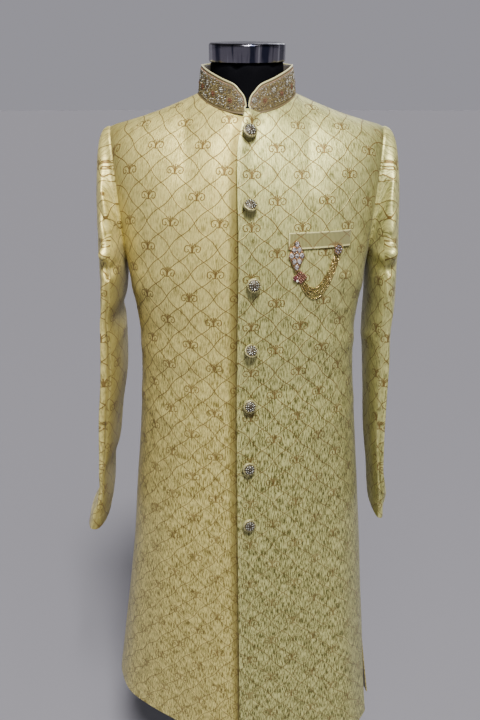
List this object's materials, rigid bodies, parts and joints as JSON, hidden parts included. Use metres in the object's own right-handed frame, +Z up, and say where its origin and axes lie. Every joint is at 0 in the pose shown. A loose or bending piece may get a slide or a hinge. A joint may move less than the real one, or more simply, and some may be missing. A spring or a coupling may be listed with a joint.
{
  "type": "sherwani coat on a dress form",
  "caption": "Long hollow sherwani coat with standing collar, sleeves, side slits, front buttons and breast pocket brooch, worn on a limbless dress form that stands on a round base.",
  "frame": {"origin": "centre of the underside of the form's round base", "axes": "+Z up, the coat's front looks along -Y, the wearer's left hand side is at +X"},
  "size_m": [0.5427, 0.3389, 1.5515],
  "materials": {
    "brocade": "silk brocade, soft sheen",
    "embroidery": "bead and metal thread embroidery",
    "piping": "silk, soft sheen",
    "button": "cloth covered and beaded",
    "gilt": "polished, aged",
    "form": "black, satin",
    "chrome": "polished",
    "base": "black, satin"
  },
  "bodies": {
    "root": {"front_right": "brocade", "front_left": "brocade", "back": "brocade", "top_sleeve_right": "brocade", "top_sleeve_left": "brocade", "under_sleeve_right": "brocade", "under_sleeve_left": "brocade", "pocket_welt": "brocade", "collar": "embroidery", "collar_piping": "piping", "button_1": "button", "button_2": "button", "button_3": "button", "button_4": "button", "button_5": "button", "button_6": "button", "button_7": "button", "brooch": "gilt", "brooch_drop": "gilt", "brooch_clasp": "gilt", "brooch_chain_1": "gilt", "brooch_chain_2": "gilt", "brooch_chain_3": "gilt", "brooch_chain_4": "gilt", "form_torso": "form", "form_cap": "chrome", "form_pole": "chrome", "form_base": "base"}
  },
  "joints": []
}
